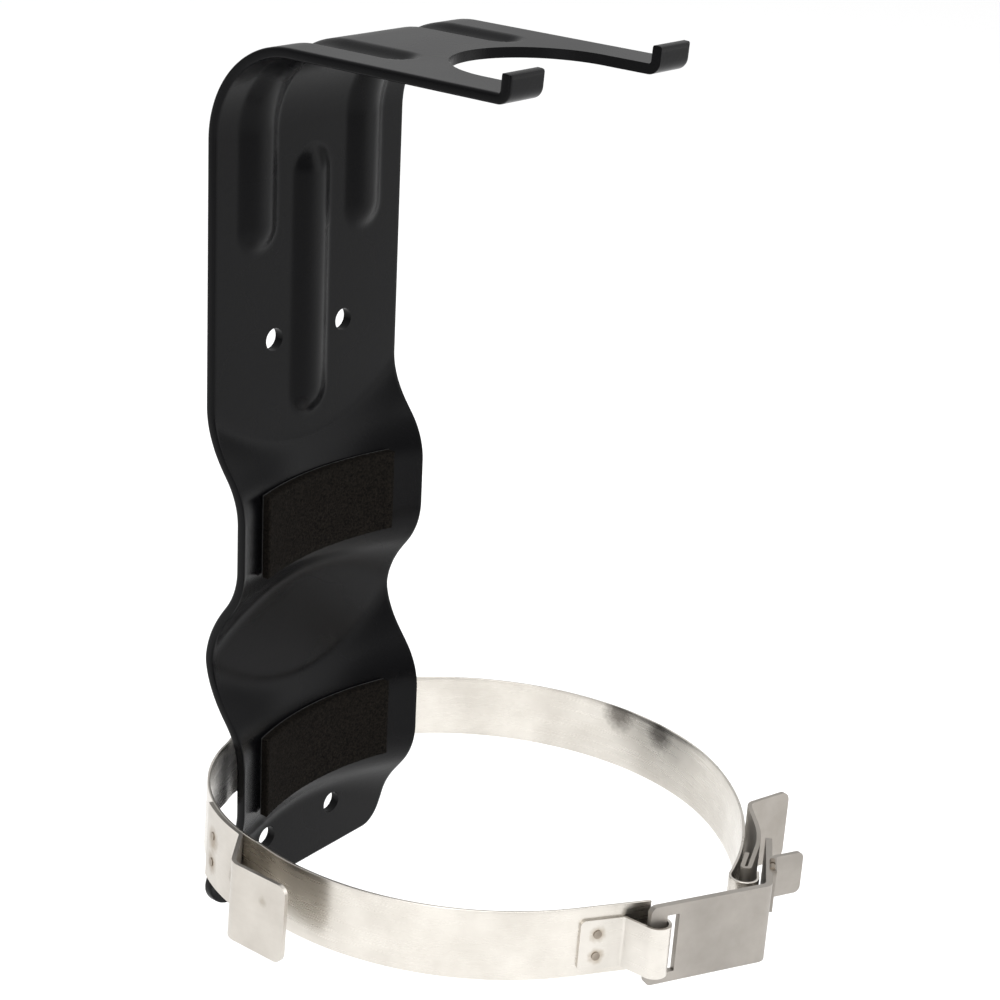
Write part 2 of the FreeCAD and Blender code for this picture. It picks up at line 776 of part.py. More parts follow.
doc.recompute()
for item in doc.Objects:
    if "Invalid" in item.State or "Error" in item.State:
        raise RuntimeError(item.Name + " failed")
for node in nodes:
    if node.Shape.isNull() or not node.Shape.isValid():
        raise RuntimeError(node.Label + " has no valid shape")
    node.Shape.exportStep(os.path.join("parts", node.Label + ".step"))
    print(node.Label, round(node.Shape.Volume, 1), len(node.Shape.Solids), node.Shape.BoundBox)
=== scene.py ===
import math

import bmesh
import bpy
import numpy as np
from mathutils import Matrix, Vector


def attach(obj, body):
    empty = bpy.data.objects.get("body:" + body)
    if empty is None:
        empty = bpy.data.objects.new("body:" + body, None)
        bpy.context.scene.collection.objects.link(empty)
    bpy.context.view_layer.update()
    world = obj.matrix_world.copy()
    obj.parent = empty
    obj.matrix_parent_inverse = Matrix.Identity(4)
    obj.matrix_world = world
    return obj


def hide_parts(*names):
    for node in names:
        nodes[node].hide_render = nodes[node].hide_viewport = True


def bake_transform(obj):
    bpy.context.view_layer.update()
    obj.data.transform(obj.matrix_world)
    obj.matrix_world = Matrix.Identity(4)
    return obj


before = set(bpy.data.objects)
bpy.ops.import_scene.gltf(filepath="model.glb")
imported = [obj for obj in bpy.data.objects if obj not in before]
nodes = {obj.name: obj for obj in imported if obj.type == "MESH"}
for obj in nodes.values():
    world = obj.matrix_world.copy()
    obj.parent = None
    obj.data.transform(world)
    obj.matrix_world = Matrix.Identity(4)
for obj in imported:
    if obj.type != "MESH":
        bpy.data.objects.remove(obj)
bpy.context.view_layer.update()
MM = 0.001

# ---------------------------------------------------------------- the band's own frame
# x and y lie in the band's plane and z is measured from half way up the band.

BAND_TILT = math.radians(4.1)
BAND_PITCH = math.radians(-0.6)
RING_REACH = 74.5
BAND_LEVEL = -52.05

TILT = Matrix.Rotation(BAND_TILT, 4, "Y") @ Matrix.Rotation(BAND_PITCH, 4, "X")
BAND = Matrix.Translation(Vector((0.0, -RING_REACH, BAND_LEVEL)) * MM) @ TILT


def band_point(x, y, z=0.0):
    return BAND @ (Vector((x, y, z)) * MM)


# ---------------------------------------------------------------- materials

# metres under each bump map
PEEL_DEPTH = 0.0003
SPECK_DEPTH = 0.0001
FOAM_CELL_DEPTH = 0.0005
FOAM_PIT_DEPTH = 0.0006
SCRATCH_DEPTH = 0.0002
# grain in features per metre along x, y and z: rolled along the strip, or the same each way
LONG_GRAIN = (60.0, 60.0, 2200.0)
EVEN_GRAIN = (260.0, 260.0, 260.0)
# the edge of each heat mark and each patch of painted shade wanders by this part of its radius, and
# fades out at the second
MARK_RAGGED = 0.7
MARK_FADE = 1.5


def new_material(name):
    material = bpy.data.materials.new(name)
    material.use_nodes = True
    tree = material.node_tree
    return material, tree, tree.nodes["Principled BSDF"]


def add(tree, kind, **settings):
    node = tree.nodes.new(kind)
    for key, value in settings.items():
        setattr(node, key, value)
    return node


def noise(tree, scale, detail=3.0, roughness=0.55, stretch=None):
    """Noise on object coordinates, in features per metre, optionally stretched."""
    coords = add(tree, "ShaderNodeTexCoord")
    tex = add(tree, "ShaderNodeTexNoise")
    tex.inputs["Scale"].default_value = scale
    tex.inputs["Detail"].default_value = detail
    tex.inputs["Roughness"].default_value = roughness
    if stretch is None:
        tree.links.new(coords.outputs["Object"], tex.inputs["Vector"])
    else:
        mapping = add(tree, "ShaderNodeMapping")
        mapping.inputs["Scale"].default_value = stretch
        tree.links.new(coords.outputs["Object"], mapping.inputs["Vector"])
        tree.links.new(mapping.outputs["Vector"], tex.inputs["Vector"])
    return tex


def ramp(tree, source, low, high, first, second):
    """Maps a 0 to 1 value between two positions onto two colours."""
    node = add(tree, "ShaderNodeValToRGB")
    node.color_ramp.elements[0].position = low
    node.color_ramp.elements[1].position = high
    node.color_ramp.elements[0].color = (*first, 1.0)
    node.color_ramp.elements[1].color = (*second, 1.0)
    tree.links.new(source, node.inputs["Fac"])
    return node


def remap(tree, source, low, high, first, second):
    """Maps a value between two positions onto two numbers."""
    node = add(tree, "ShaderNodeMapRange")
    node.inputs["From Min"].default_value = low
    node.inputs["From Max"].default_value = high
    node.inputs["To Min"].default_value = first
    node.inputs["To Max"].default_value = second
    tree.links.new(source, node.inputs["Value"])
    return node


def bump(tree, height, strength, distance, before=None):
    """A bump map, laid over an earlier one if there is one."""
    node = add(tree, "ShaderNodeBump")
    node.inputs["Strength"].default_value = strength
    node.inputs["Distance"].default_value = distance
    tree.links.new(height, node.inputs["Height"])
    if before is not None:
        tree.links.new(before.outputs["Normal"], node.inputs["Normal"])
    return node


def plate_material():
    material, tree, shader = new_material("plate_black")
    broad = noise(tree, 18.0, 2.0)
    dark = (0.0010, 0.0010, 0.0013)
    light = (0.0018, 0.0018, 0.0022)
    tint = ramp(tree, broad.outputs["Fac"], 0.3, 0.7, dark, light)
    tree.links.new(tint.outputs["Color"], shader.inputs["Base Color"])
    gloss = remap(tree, broad.outputs["Fac"], 0.3, 0.7, 0.24, 0.30)
    tree.links.new(gloss.outputs["Result"], shader.inputs["Roughness"])
    peel = noise(tree, 900.0, 2.0, 0.5)
    specks = noise(tree, 3200.0, 1.0, 0.5)
    first = bump(tree, peel.outputs["Fac"], 0.08, PEEL_DEPTH)
    second = bump(tree, specks.outputs["Fac"], 0.06, SPECK_DEPTH, first)
    tree.links.new(second.outputs["Normal"], shader.inputs["Normal"])
    shader.inputs["IOR"].default_value = 1.18
    return material


def foam_material():
    material, tree, shader = new_material("foam_black")
    cells = noise(tree, 1500.0, 4.0, 0.7)
    coarse = noise(tree, 420.0, 3.0, 0.6)
    dark = (0.0012, 0.0011, 0.0010)
    light = (0.0120, 0.0100, 0.0080)
    tint = ramp(tree, cells.outputs["Fac"], 0.36, 0.66, dark, light)
    tree.links.new(tint.outputs["Color"], shader.inputs["Base Color"])
    dull = remap(tree, coarse.outputs["Fac"], 0.3, 0.7, 0.86, 0.97)
    tree.links.new(dull.outputs["Result"], shader.inputs["Roughness"])
    first = bump(tree, coarse.outputs["Fac"], 0.5, FOAM_PIT_DEPTH)
    second = bump(tree, cells.outputs["Fac"], 0.9, FOAM_CELL_DEPTH, first)
    tree.links.new(second.outputs["Normal"], shader.inputs["Normal"])
    shader.inputs["IOR"].default_value = 1.12
    return material


def film_material():
    material, tree, shader = new_material("adhesive_film")
    grain = noise(tree, 600.0)
    dark = (0.010, 0.010, 0.010)
    light = (0.018, 0.018, 0.018)
    tint = ramp(tree, grain.outputs["Fac"], 0.3, 0.7, dark, light)
    tree.links.new(tint.outputs["Color"], shader.inputs["Base Color"])
    dull = remap(tree, grain.outputs["Fac"], 0.3, 0.7, 0.6, 0.75)
    tree.links.new(dull.outputs["Result"], shader.inputs["Roughness"])
    return material


def steel_material(name, dark, light, rough_low, rough_high, grain_stretch, marks=()):
    """Steel between two tints and two roughnesses, with heat marks and patches of painted shade at the
    given points.
    """
    material, tree, shader = new_material(name)
    cloud = noise(tree, 55.0, 4.0)
    grain = noise(tree, 1.0, 3.0, 0.6, grain_stretch)
    tint = ramp(tree, cloud.outputs["Fac"], 0.32, 0.68, dark, light)
    colour = tint.outputs["Color"]
    for place, radius, tone, amount in marks:
        coords = add(tree, "ShaderNodeTexCoord")
        away = add(tree, "ShaderNodeVectorMath", operation="DISTANCE")
        tree.links.new(coords.outputs["Object"], away.inputs[0])
        away.inputs[1].default_value = place
        wobble = noise(tree, 700.0, 3.0)
        ragged = add(tree, "ShaderNodeMath", operation="MULTIPLY_ADD")
        ragged.inputs[1].default_value = radius * MARK_RAGGED
        tree.links.new(wobble.outputs["Fac"], ragged.inputs[0])
        tree.links.new(away.outputs["Value"], ragged.inputs[2])
        edge = ragged.outputs["Value"]
        # heat tint, and on the band also painted shade and painted dark reflection, mixed over the
        # steel's tint
        burn_and_painted_shade = remap(tree, edge, radius * MARK_RAGGED, radius * MARK_FADE, amount, 0.0)
        mix = add(tree, "ShaderNodeMix", data_type="RGBA")
        tree.links.new(burn_and_painted_shade.outputs["Result"], mix.inputs["Factor"])
        tree.links.new(colour, mix.inputs["A"])
        mix.inputs["B"].default_value = (*tone, 1.0)
        colour = mix.outputs["Result"]
    tree.links.new(colour, shader.inputs["Base Color"])
    rough = remap(tree, grain.outputs["Fac"], 0.25, 0.75, rough_low, rough_high)
    tree.links.new(rough.outputs["Result"], shader.inputs["Roughness"])
    scratches = bump(tree, grain.outputs["Fac"], 0.10, SCRATCH_DEPTH)
    fine = noise(tree, 2600.0, 2.0)
    both = bump(tree, fine.outputs["Fac"], 0.08, SPECK_DEPTH, scratches)
    tree.links.new(both.outputs["Normal"], shader.inputs["Normal"])
    shader.inputs["Metallic"].default_value = 1.0
    return material


black = plate_material()
foam = foam_material()
film = film_material()

# ---------------------------------------------------------------- mesh helpers

def make_object(name, vertices, faces, material):
    mesh = bpy.data.meshes.new(name)
    mesh.from_pydata([tuple(v) for v in vertices], [], faces)
    mesh.validate()
    ob = bpy.data.objects.new(name, mesh)
    bpy.context.scene.collection.objects.link(ob)
    mesh.materials.append(material)
    bm = bmesh.new()
    bm.from_mesh(mesh)
    bmesh.ops.recalc_face_normals(bm, faces=bm.faces)
    bm.to_mesh(mesh)
    bm.free()
    return ob


def shade(ob, degrees=35.0):
    """Smooth shading that keeps edges sharper than an angle."""
    mesh = ob.data
    mesh.shade_smooth()
    mesh.set_sharp_from_angle(angle=math.radians(degrees))


def tube_faces(rings, around):
    """Faces of a closed tube made of rings of points, with both ends capped by strips."""
    faces = []
    for i in range(rings - 1):
        base = i * around
        above = base + around
        for j in range(around):
            k = (j + 1) % around
            faces.append((base + j, base + k, above + k, above + j))
    for base, flip in ((0, False), ((rings - 1) * around, True)):
        for j in range(around // 2 - 1):
            quad = [base + j, base + j + 1, base + around - 2 - j, base + around - 1 - j]
            if flip:
                quad.reverse()
            faces.append(tuple(quad))
    return faces


# ---------------------------------------------------------------- back plate

HALF_WIDTH = 40.0
THICK = 3.0
BOTTOM = -99.0
CORNER = 10.0
BEND = 30.0
BEND_Z = 146.2
TURN = math.radians(90.8)
REACH = 105.3
LIP_TURN = math.radians(87.0)
LIP_INSIDE = 0.8
LIP_RISE = 4.5
RIM = 0.7
HOLE_RADIUS = 3.5
HOLES_ACROSS = (-15.0, 15.0)
HOLES_UP = (-83.0, 83.0)
FORK_RADIUS = 26.0
FORK_REACH = 86.6
# ribs: radius of the section, its rise over the sheet, and where the ribs lie
RIB = 11.0
RIB_RISE = 2.5
RIB_OFFSET = 22.5
MIDDLE_RIB_BOTTOM = 53.3
MIDDLE_RIB_TOP = 142.8
OUTER_RIB_BOTTOM = 107.5
OUTER_RIB_REACH = 64.0
# saddles: height of the middle, radius and depth
UPPER_SADDLE = (26.6, 93.0, 4.4)
LOWER_SADDLE = (-52.6, 88.0, 4.9)
SADDLE_FLAT = 7.0
SADDLE_ROUND = 26.0
SADDLE_SLOPE = math.radians(35.0)
# widths over which folds are softened, on the front and behind, and how they widen to the edges
FRONT_FOLD = 1.7
BEHIND_FOLD = 2.8
FOLD_SPREAD = 4.5
FRONT_RIB_FOLD = 1.5
BEHIND_RIB_FOLD = 1.2
SADDLES_END = BEND_Z - 20.0


def smooth_max(a, b, k):
    """The larger of two heights, with the change from one to the other rounded over k."""
    return np.maximum(a, b) + np.maximum(k - np.abs(a - b), 0.0) ** 2 / (4.0 * k)


def saddle_height(x, z, level, radius, depth, behind):
    """How far a saddle stands out of the flat plate, on its front or behind surface."""
    base = radius + behind
    curl = SADDLE_ROUND - behind
    away = np.abs(z - level)
    end_z = SADDLE_FLAT + curl * math.sin(SADDLE_SLOPE)
    end_r = base + curl * (1.0 - math.cos(SADDLE_SLOPE))
    on_curl = np.clip(away - SADDLE_FLAT, 0.0, curl * math.sin(SADDLE_SLOPE))
    r = base + curl - np.sqrt(curl ** 2 - on_curl ** 2)
    r = np.where(away > end_z, end_r + (away - end_z) * math.tan(SADDLE_SLOPE), r)
    return depth + radius + behind - np.sqrt(np.maximum(r * r - x * x, 1.0))


def rib_height(x, s, low, high, behind):
    """A round-ended rib between two places along the strip, as height above the sheet."""
    radius = RIB - behind
    beyond = np.maximum(np.maximum(low - s, s - high), 0.0)
    away = np.sqrt(x * x + beyond ** 2)
    inside = np.sqrt(np.maximum(radius ** 2 - away ** 2, 0.0))
    outside = -(away - radius) * 2.0
    drop = RIB - RIB_RISE - behind
    return np.where(away < radius, inside, outside) - drop


def sheet_heights(x, s, behind):
    """Height of the front or behind surface over the flat sheet at width x and strip length s."""
    z = BOTTOM + s
    height = np.zeros_like(x + s)
    on_front = behind == 0.0
    fold = (FRONT_FOLD if on_front else BEHIND_FOLD) + FOLD_SPREAD * (x / HALF_WIDTH) ** 2
    below_bend = np.minimum(z, SADDLES_END)
    for saddle in (UPPER_SADDLE, LOWER_SADDLE):
        raised = saddle_height(x, below_bend, *saddle, behind)
        height = np.where(z < SADDLES_END, smooth_max(height, raised, fold), height)
    fold = FRONT_RIB_FOLD if on_front else BEHIND_RIB_FOLD
    ribs = (
        (0.0, MIDDLE_RIB_BOTTOM + RIB, MIDDLE_RIB_TOP - RIB),
        (-RIB_OFFSET, OUTER_RIB_BOTTOM + RIB, RIB_END),
        (RIB_OFFSET, OUTER_RIB_BOTTOM + RIB, RIB_END),
    )
    for centre, low, high in ribs:
        raised = rib_height(x - centre, z, low, high, behind)
        height = smooth_max(height, raised, fold)
    return height


PLATE_LENGTH = BEND_Z - BOTTOM
BEND_LENGTH = BEND * TURN
arm_start = (-BEND + BEND * math.cos(TURN), BEND_Z + BEND * math.sin(TURN))
arm_way = (-math.sin(TURN), math.cos(TURN))
# the arm runs until the lip's outer face stands at the arm's reach
ARM_LENGTH = (REACH + arm_start[0]) / math.sin(TURN) - THICK - LIP_INSIDE
CURL_LENGTH = LIP_INSIDE * LIP_TURN
# where the outer ribs end out along the arm, written as a height on the unrolled strip
RIB_END = BEND_Z + BEND_LENGTH + (OUTER_RIB_REACH - RIB + arm_start[0]) / math.sin(TURN)


def strip_line(s):
    """Back line of the strip in the side view: a point and the direction towards the front face."""
    if s <= PLATE_LENGTH:
        return (0.0, BOTTOM + s), (-1.0, 0.0)
    s -= PLATE_LENGTH
    if s <= BEND_LENGTH:
        a = s / BEND
        return (-BEND + BEND * math.cos(a), BEND_Z + BEND * math.sin(a)), (-math.cos(a), -math.sin(a))
    s -= BEND_LENGTH
    facing = (-math.cos(TURN), -math.sin(TURN))
    if s <= ARM_LENGTH:
        return (arm_start[0] + arm_way[0] * s, arm_start[1] + arm_way[1] * s), facing
    s -= ARM_LENGTH
    end = (arm_start[0] + arm_way[0] * ARM_LENGTH, arm_start[1] + arm_way[1] * ARM_LENGTH)
    centre = (end[0] - facing[0] * LIP_INSIDE, end[1] - facing[1] * LIP_INSIDE)
    a = TURN - min(s / LIP_INSIDE, LIP_TURN)
    out = (-math.cos(a), -math.sin(a))
    point = (centre[0] + out[0] * LIP_INSIDE, centre[1] + out[1] * LIP_INSIDE)
    rest = max(s - CURL_LENGTH, 0.0)
    way = (-math.sin(a), math.cos(a))
    return (point[0] + way[0] * rest, point[1] + way[1] * rest), out


def plate_rows():
    """Strip lengths of the rows, each with how far its faces are set in to round the ends."""
    rows = [(0.0, RIM), (0.2, 0.2), (RIM, 0.0)]
    for i in range(3, 13):
        rows.append((CORNER * (1.0 - math.cos(math.radians(90.0 * i / 12.0))), 0.0))
    s = CORNER + 1.1
    while s < PLATE_LENGTH - 0.5:
        rows.append((s, 0.0))
        s += 1.15
    start = PLATE_LENGTH
    rows.append((start, 0.0))
    for length, count in ((BEND_LENGTH, 44), (ARM_LENGTH, 52), (CURL_LENGTH, 10)):
        for i in range(1, count + 1):
            rows.append((start + length * i / count, 0.0))
        start += length
    for extra in (1.3, 2.6, LIP_RISE - RIM):
        rows.append((start + extra, 0.0))
    rows.append((start + (LIP_RISE - 0.2), 0.2))
    rows.append((start + LIP_RISE, RIM))
    return rows


def plate_ring(half):
    """Half a section: places from one edge to the other, each with its depth in a round rim.

    The other half is the same line behind, in the opposite order.
    """
    columns = 100
    ring = []
    for i in (0, 1, 2):
        a = math.radians(90.0 - 30.0 * i)
        ring.append((-half + RIM - RIM * math.sin(a), RIM - RIM * math.cos(a)))
    for i in range(columns + 1):
        ring.append(((-1.0 + 2.0 * i / columns) * (half - RIM), 0.0))
    for i in (2, 1, 0):
        a = math.radians(90.0 - 30.0 * i)
        ring.append((half - RIM + RIM * math.sin(a), RIM - RIM * math.cos(a)))
    return ring


def build_plate():
    vertices = []
    rows = plate_rows()
    for s, inset in rows:
        half = HALF_WIDTH
        if s < CORNER:
            half = HALF_WIDTH - CORNER + math.sqrt(max(CORNER ** 2 - (CORNER - s) ** 2, 0.0))
        ring = plate_ring(half)
        x = np.array([p[0] for p in ring])
        sink = np.maximum(np.array([p[1] for p in ring]), inset)
        along = np.full_like(x, s)
        front = THICK + sheet_heights(x, along, 0.0)
        behind = sheet_heights(x, along, THICK)
        (by, bz), (ny, nz) = strip_line(s)
        for places, depth in ((x, front - sink), (x[::-1], (behind + sink)[::-1])):
            for px, d in zip(places, depth):
                vertices.append((px * MM, (by + ny * d) * MM, (bz + nz * d) * MM))
    around = 2 * len(plate_ring(HALF_WIDTH))
    return make_object("back_plate_sheet", vertices, tube_faces(len(rows), around), black)


def cut(ob, cutter):
    modifier = ob.modifiers.new("cut", "BOOLEAN")
    modifier.operation = "DIFFERENCE"
    modifier.solver = "EXACT"
    modifier.object = cutter
    bpy.context.view_layer.update()
    evaluated = ob.evaluated_get(bpy.context.evaluated_depsgraph_get())
    result = bpy.data.meshes.new_from_object(evaluated)
    ob.modifiers.clear()
    ob.data = result
    bpy.data.objects.remove(cutter)


def prism(first, second):
    """A closed cutter between two rings of points in millimetres."""
    count = len(first)
    vertices = []
    for x, y, z in first + second:
        vertices.append((x * MM, y * MM, z * MM))
    faces = [tuple(range(count)), tuple(reversed(range(count, 2 * count)))]
    for i in range(count):
        j = (i + 1) % count
        faces.append((i, count + i, count + j, j))
    return make_object("cutter", vertices, faces, black)


def hole_cutter(x, z):
    rings = []
    for y in (-20.0, 12.0):
        ring = []
        for i in range(48):
            a = 2.0 * math.pi * i / 48
            ring.append((x + HOLE_RADIUS * math.cos(a), y, z + HOLE_RADIUS * math.sin(a)))
        rings.append(ring)
    return prism(*rings)


def fork_cutter():
    beyond = -130.0
    outline = [(-FORK_RADIUS, beyond)]
    for i in range(73):
        a = math.pi - math.pi * i / 72.0
        outline.append((FORK_RADIUS * math.cos(a), -FORK_REACH + FORK_RADIUS * math.sin(a)))
    outline.append((FORK_RADIUS, beyond))
    rings = []
    for z in (150.0, 200.0):
        rings.append([(x, y, z) for x, y in outline])
    return prism(*rings)


plate = build_plate()
cut(plate, fork_cutter())
for hole_x in HOLES_ACROSS:
    for hole_z in HOLES_UP:
        cut(plate, hole_cutter(hole_x, hole_z))
shade(plate, 38.0)
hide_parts("back_plate")
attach(plate, "bracket")

# ---------------------------------------------------------------- foam pads

PAD_HALF_WIDTH = 28.0
PAD_HALF_HEIGHT = 13.0
FOAM_THICK = 2.7
FILM_THICK = 0.3
# how far an edge is rounded, over what width, and how uneven the face and the cut rim are
EDGE_DROP = 0.45
EDGE_WIDTH = 0.9
FACE_UNEVEN = 0.045
RIM_UNEVEN = 0.10
SIDE_UNEVEN = 0.04


def foam_pad(name, node, level, radius, depth):
    """A strip of open foam bent to its saddle, with soft edges and an uneven cut rim."""
    rng = np.random.default_rng(int(radius))
    near = radius - FILM_THICK
    axis_y = -THICK - depth - radius
    across = 112
    up = 52
    vertices = []
    index = {}
    faces = []
    rough = rng.normal(0.0, 1.0, (across + 1, up + 1, 2))
    for side in (0, 1):
        for i in range(across + 1):
            for j in range(up + 1):
                x = (-1.0 + 2.0 * i / across) * PAD_HALF_WIDTH
                z = (-1.0 + 2.0 * j / up) * PAD_HALF_HEIGHT
                edge = min(PAD_HALF_WIDTH - abs(x), PAD_HALF_HEIGHT - abs(z))
                ease = min(edge / EDGE_WIDTH, 1.0)
                drop = EDGE_DROP * (1.0 - math.sqrt(max(1.0 - (1.0 - ease) ** 2, 0.0)))
                r = near
                if side == 1:
                    r = near - FOAM_THICK + drop + FACE_UNEVEN * rough[i, j, 0]
                wander = RIM_UNEVEN * abs(rough[i, j, 1])
                if i in (0, across):
                    x -= math.copysign(wander, x)
                if j in (0, up):
                    z -= math.copysign(wander, z)
                y = axis_y + math.sqrt(r * r - x * x)
                index[side, i, j] = len(vertices)
                vertices.append((x * MM, y * MM, (level + z) * MM))
    for side in (0, 1):
        for i in range(across):
            for j in range(up):
                corners = ((i, j), (i + 1, j), (i + 1, j + 1), (i, j + 1))
                faces.append(tuple(index[side, a, b] for a, b in corners))
    rim = [(i, 0) for i in range(across)] + [(across, j) for j in range(up)]
    rim += [(i, up) for i in range(across, 0, -1)] + [(0, j) for j in range(up, 0, -1)]
    layers = 5
    rings = [[index[0, i, j] for i, j in rim]]
    for k in range(1, layers):
        ring = []
        for i, j in rim:
            a = Vector(vertices[index[0, i, j]])
            b = Vector(vertices[index[1, i, j]])
            p = a.lerp(b, k / layers)
            jitter = rng.normal(0.0, SIDE_UNEVEN * MM, 3)
            ring.append(len(vertices))
            vertices.append((p.x + jitter[0], p.y, p.z + jitter[2]))
        rings.append(ring)
    rings.append([index[1, i, j] for i, j in rim])
    count = len(rim)
    for lower, upper in zip(rings[:-1], rings[1:]):
        for k in range(count):
            n = (k + 1) % count
            faces.append((lower[k], lower[n], upper[n], upper[k]))
    pad = make_object(name, vertices, faces, foam)
    shade(pad, 50.0)
    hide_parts(node)
    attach(pad, "bracket")


foam_pad("upper_pad_foam", "upper_foam_pad", *UPPER_SADDLE)
foam_pad("lower_pad_foam", "lower_foam_pad", *LOWER_SADDLE)
for name in ("upper_pad_adhesive", "lower_pad_adhesive"):
    nodes[name].data.materials.clear()
    nodes[name].data.materials.append(film)

# ---------------------------------------------------------------- band

RING = 77.4
STEEL = 0.8
HIGH = 20.0
STRIP_RIM = 0.15
# the flat run behind the saddle and the corners at its ends
FLAT_BACK = 72.4
FLAT_CORNER = 25.0
# the left side bulges out: a tighter arc, led into and out of by two fillets
BULGE_MIDDLE = 142.8
BULGE = 60.0
BULGE_RISE = 2.4
FILLET = 30.0
STRAIGHT_FROM = 238.5
STRAIGHT_LENGTH = 22
# the right side flattens towards the catch and ends in a curl with a short tail
FRONT = 104.0
FRONT_FROM = -36.0
FRONT_TO = -73.5
CURL = 3.9
CURL_TURN = 196.5
CURL_TAIL = (1.8, 3.5)


def arc(cx, cy, radius, first, last, step=1.0):
    """Points along an arc between two angles in degrees, about a step apart."""
    count = max(2, int(abs(math.radians(last - first)) * radius / step) + 1)
    points = []
    for i in range(count + 1):
        a = math.radians(first + (last - first) * i / count)
        points.append((cx + radius * math.cos(a), cy + radius * math.sin(a)))
    return points


def band_strip(name, line):
    """A stretch of the band standing on edge along a plan line, with its long edges rounded."""
    points = [line[0]]
    for p in line[1:]:
        if math.hypot(p[0] - points[-1][0], p[1] - points[-1][1]) > 0.02:
            points.append(p)
    half = STEEL / 2.0
    high = HIGH / 2.0
    low = -high
    rim = STRIP_RIM
    rows = 12
    section = []
    for k in range(4):
        a = math.radians(90.0 * k / 3.0)
        section.append((half - rim + rim * math.sin(a), low + rim - rim * math.cos(a)))
    for k in range(1, rows):
        section.append((half, low + rim + (high - low - 2 * rim) * k / rows))
    for k in range(4):
        a = math.radians(90.0 - 90.0 * k / 3.0)
        section.append((half - rim + rim * math.sin(a), high - rim + rim * math.cos(a)))
    section += [(-d, z) for d, z in reversed(section)]
    vertices = []
    for i, p in enumerate(points):
        a = points[max(i - 1, 0)]
        b = points[min(i + 1, len(points) - 1)]
        length = math.hypot(b[0] - a[0], b[1] - a[1])
        nx, ny = -(b[1] - a[1]) / length, (b[0] - a[0]) / length
        for d, z in section:
            vertices.append(tuple(band_point(p[0] + nx * d, p[1] + ny * d, z)))
    return make_object(name, vertices, tube_faces(len(points), len(section)), band_steel)


corner_y = FLAT_BACK - FLAT_CORNER
corner_x = math.sqrt((RING - FLAT_CORNER) ** 2 - corner_y ** 2)
corner_turn = math.degrees(math.atan2(corner_x, corner_y))


def on_circle(radius, angle, centre=(0.0, 0.0)):
    a = math.radians(angle)
    return centre[0] + radius * math.cos(a), centre[1] + radius * math.sin(a)


def on_straight(along):
    """A point on the band's straight left end, measured from where the ring stops."""
    return on_circle(along, STRAIGHT_FROM + 90.0, on_circle(RING, STRAIGHT_FROM))


# angles from the bulge's middle at which a fillet meets the ring, seen from the ring's centre,
# and leaves the bulge, seen from the bulge's own centre
bulge_shift = RING + BULGE_RISE - BULGE
bulge_centre = on_circle(bulge_shift, BULGE_MIDDLE)
bulge_reach = BULGE + FILLET
ring_reach = RING + FILLET
meet_cosine = (bulge_shift ** 2 + ring_reach ** 2 - bulge_reach ** 2) / (2.0 * bulge_shift * ring_reach)
meet = math.degrees(math.acos(meet_cosine))
leave_cosine = (ring_reach * math.cos(math.radians(meet)) - bulge_shift) / bulge_reach
leave = math.degrees(math.acos(leave_cosine))

# heat marks, and dark patches that are painted shade and painted dark reflection: place, radius in
# metres, colour and strength
band_heat_marks_and_painted_shade = (
    # painted shade and painted dark reflection: the band's left end, darkened where it sits in the
    # hollow behind the catch loop
    (tuple(band_point(-25.0, -75.5, 1.0)), 0.0075, (0.035, 0.032, 0.030), 0.75),
    (tuple(band_point(-70.5, 22.0, -2.0)), 0.0080, (0.10, 0.078, 0.050), 0.7),
    # painted dark reflection: a broad near-black patch on the band's back left
    (tuple(band_point(-36.0, 68.0, 0.0)), 0.0150, (0.030, 0.027, 0.025), 0.88),
    (tuple(band_point(77.2, 2.0, 8.0)), 0.0060, (0.070, 0.060, 0.050), 0.75),
    (tuple(band_point(75.6, -15.0, 7.0)), 0.0055, (0.060, 0.052, 0.045), 0.75),
)
band_steel = steel_material(
    "band_satin", (0.52, 0.49, 0.445), (0.64, 0.61, 0.56), 0.24, 0.34, LONG_GRAIN, band_heat_marks_and_painted_shade
)

bulge_start = BULGE_MIDDLE - meet
bulge_end = BULGE_MIDDLE + meet
fillet_start = BULGE_MIDDLE - leave
fillet_end = BULGE_MIDDLE + leave
left_line = [(0.0, FLAT_BACK), (-corner_x * 0.5, FLAT_BACK)]
left_line += arc(-corner_x, corner_y, FLAT_CORNER, 90.0, 90.0 + corner_turn, 0.8)
left_line += arc(0.0, 0.0, RING, 90.0 + corner_turn, bulge_start)[1:]
fillet_centre = on_circle(ring_reach, bulge_start)
left_line += arc(*fillet_centre, FILLET, bulge_start - 180.0, fillet_start - 180.0, 0.8)[1:]
left_line += arc(*bulge_centre, BULGE, fillet_start, fillet_end)[1:]
fillet_centre = on_circle(ring_reach, bulge_end)
left_line += arc(*fillet_centre, FILLET, fillet_end - 180.0, bulge_end - 180.0, 0.8)[1:]
left_line += arc(0.0, 0.0, RING, bulge_end, STRAIGHT_FROM)[1:]
for i in range(STRAIGHT_LENGTH):
    left_line.append(on_straight(i + 1.0))
left_strip = band_strip("band_left_strip", left_line)
shade(left_strip, 40.0)
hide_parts("band_rear", "band_left_arm")
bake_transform(left_strip)

right_line = [(0.0, FLAT_BACK), (corner_x * 0.5, FLAT_BACK)]
right_line += arc(corner_x, corner_y, FLAT_CORNER, 90.0, 90.0 - corner_turn, 0.8)
right_line += arc(0.0, 0.0, RING, 90.0 - corner_turn, FRONT_FROM)[1:]
right_line += arc(*on_circle(RING - FRONT, FRONT_FROM), FRONT, FRONT_FROM, FRONT_TO)[1:]
